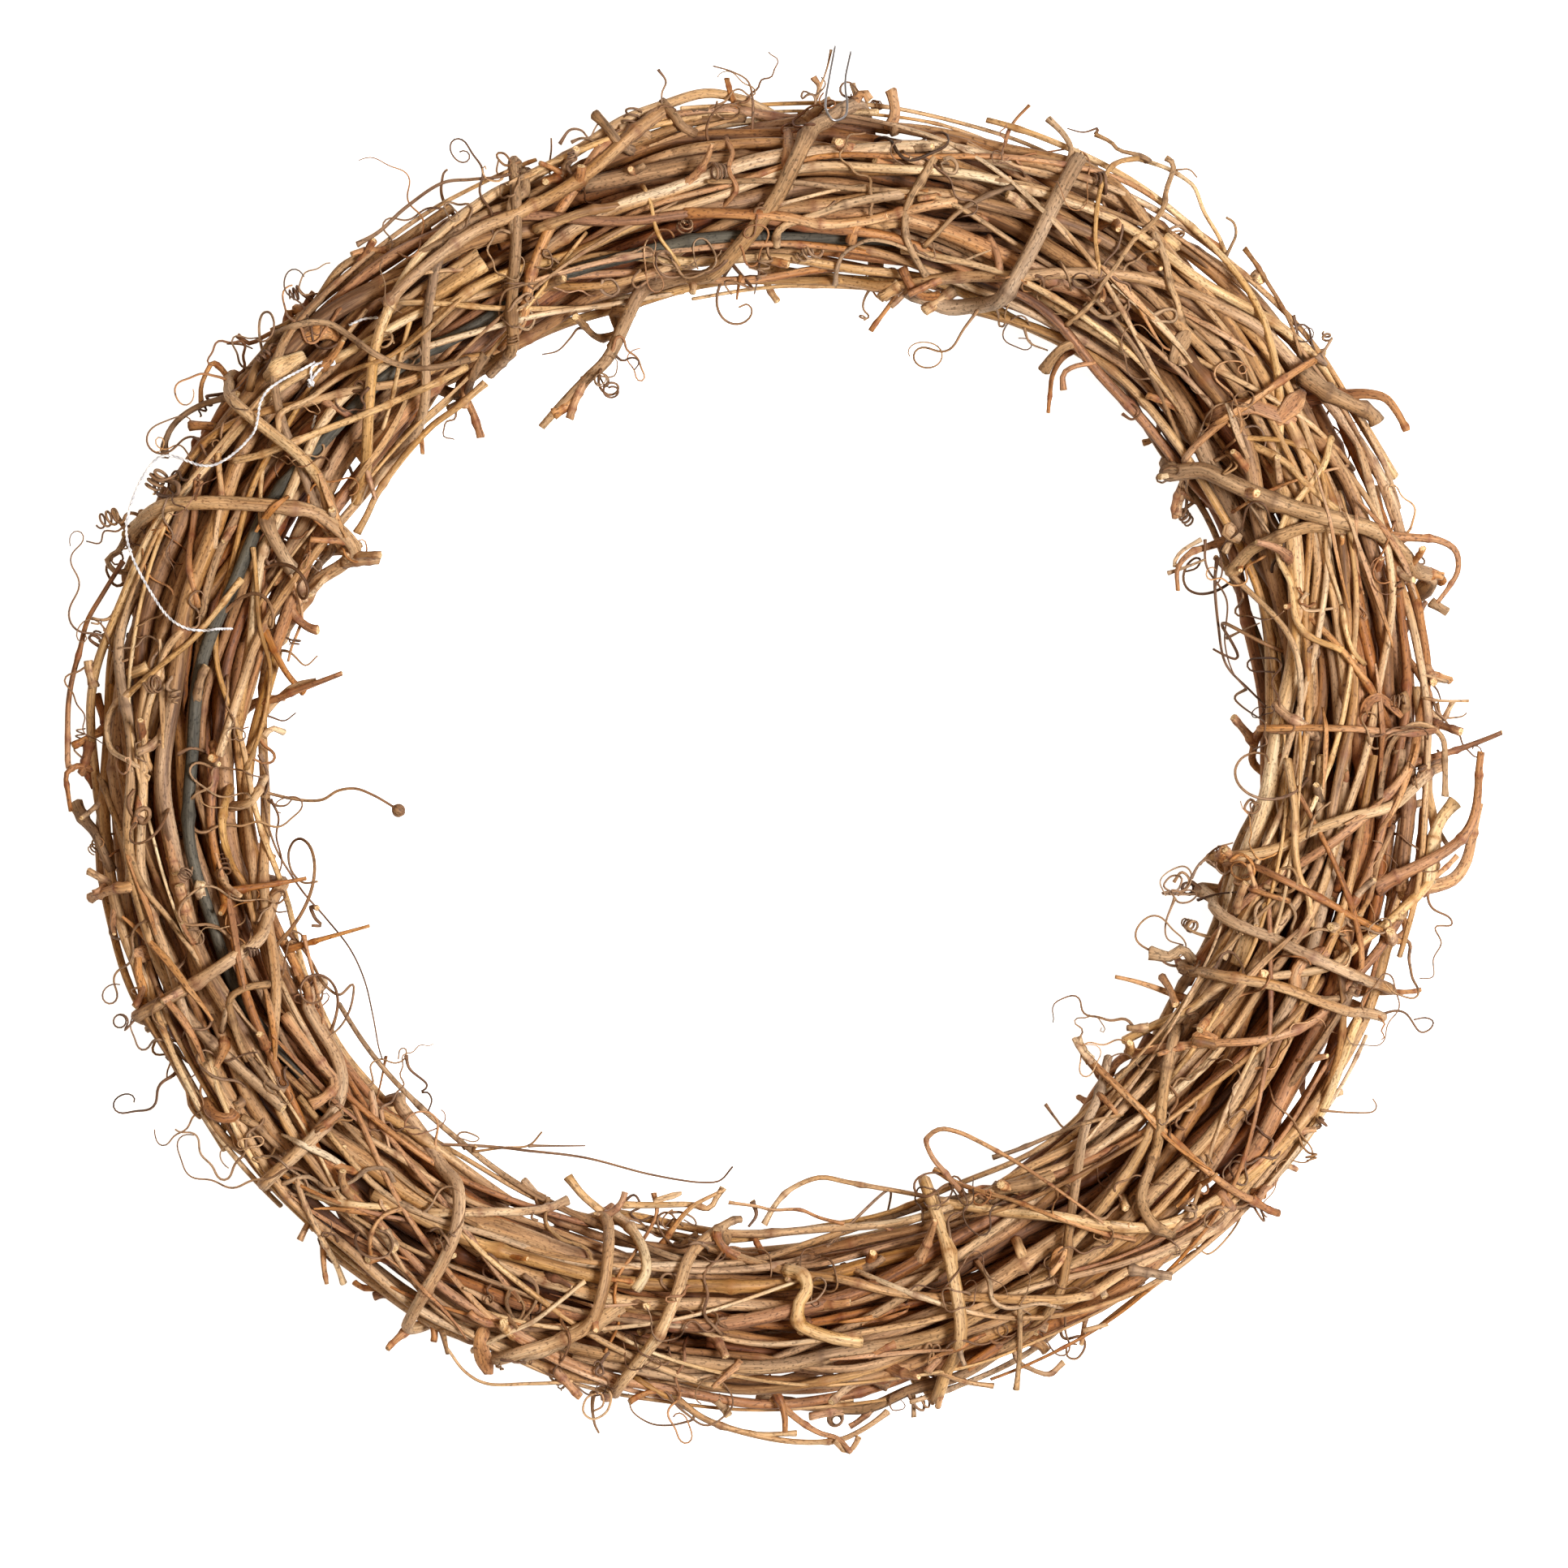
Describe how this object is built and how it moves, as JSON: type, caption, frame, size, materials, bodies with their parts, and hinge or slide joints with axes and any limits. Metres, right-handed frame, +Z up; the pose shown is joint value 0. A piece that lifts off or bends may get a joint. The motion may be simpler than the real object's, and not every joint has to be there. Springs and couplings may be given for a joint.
{
  "type": "wicker wreath",
  "caption": "Round wreath of dried grapevine canes wound into a ring and lashed with binding vines, with curling tendrils and an open middle.",
  "frame": {"origin": "middle of the underside, on the surface that the wreath lies on", "axes": "+Z up out of the wreath's front, +Y towards the top of the wreath as it hangs, +X to the right seen from the front"},
  "size_m": [0.3651, 0.3578, 0.0523],
  "materials": {
    "vine_tan": "dry fibrous bark, matt",
    "vine_golden": "peeled straw-coloured vine, low sheen",
    "vine_grey": "weathered grey-brown bark, matt",
    "vine_dark": "dark grey-green bark, matt",
    "vine_red": "smooth red-brown young shoot",
    "cotton": "spun white thread",
    "steel_wire": "fine drawn wire"
  },
  "bodies": {
    "root": {"thick_cane_1": "vine_tan", "thick_cane_2": "vine_golden", "thick_cane_3": "vine_tan", "thick_cane_4": "vine_grey", "thick_cane_5": "vine_golden", "thick_cane_6": "vine_tan", "thick_cane_7": "vine_red", "thick_cane_8": "vine_tan", "cane_1": "vine_dark", "cane_2": "vine_tan", "cane_3": "vine_grey", "cane_4": "vine_golden", "cane_5": "vine_tan", "cane_6": "vine_red", "cane_7": "vine_tan", "cane_8": "vine_golden", "cane_9": "vine_tan", "cane_10": "vine_grey", "cane_11": "vine_golden", "cane_12": "vine_tan", "cane_13": "vine_red", "cane_14": "vine_tan", "cane_15": "vine_golden", "cane_16": "vine_tan", "cane_17": "vine_grey", "cane_18": "vine_golden", "slim_cane_1": "vine_tan", "slim_cane_2": "vine_red", "slim_cane_3": "vine_tan", "slim_cane_4": "vine_golden", "slim_cane_5": "vine_tan", "slim_cane_6": "vine_grey", "slim_cane_7": "vine_golden", "slim_cane_8": "vine_tan", "slim_cane_9": "vine_red", "stray_vine_1": "vine_red", "stray_vine_2": "vine_tan", "stray_vine_3": "vine_grey", "stray_vine_4": "vine_golden", "stray_vine_5": "vine_red", "stray_vine_6": "vine_tan", "stray_vine_7": "vine_grey", "stray_vine_8": "vine_golden", "stray_vine_9": "vine_red", "stray_vine_10": "vine_tan", "stray_vine_11": "vine_grey", "stray_vine_12": "vine_golden", "binder_top": "vine_grey", "binder_upper": "vine_grey", "binder_thick": "vine_grey", "binder_foot": "vine_tan", "binder_right": "vine_tan", "binder_low_right": "vine_tan", "binder_slant": "vine_tan", "binder_bent": "vine_tan", "binder_pale": "vine_golden", "binder_red": "vine_red", "white_thread": "cotton", "hanging_wire": "steel_wire"}
  },
  "joints": []
}
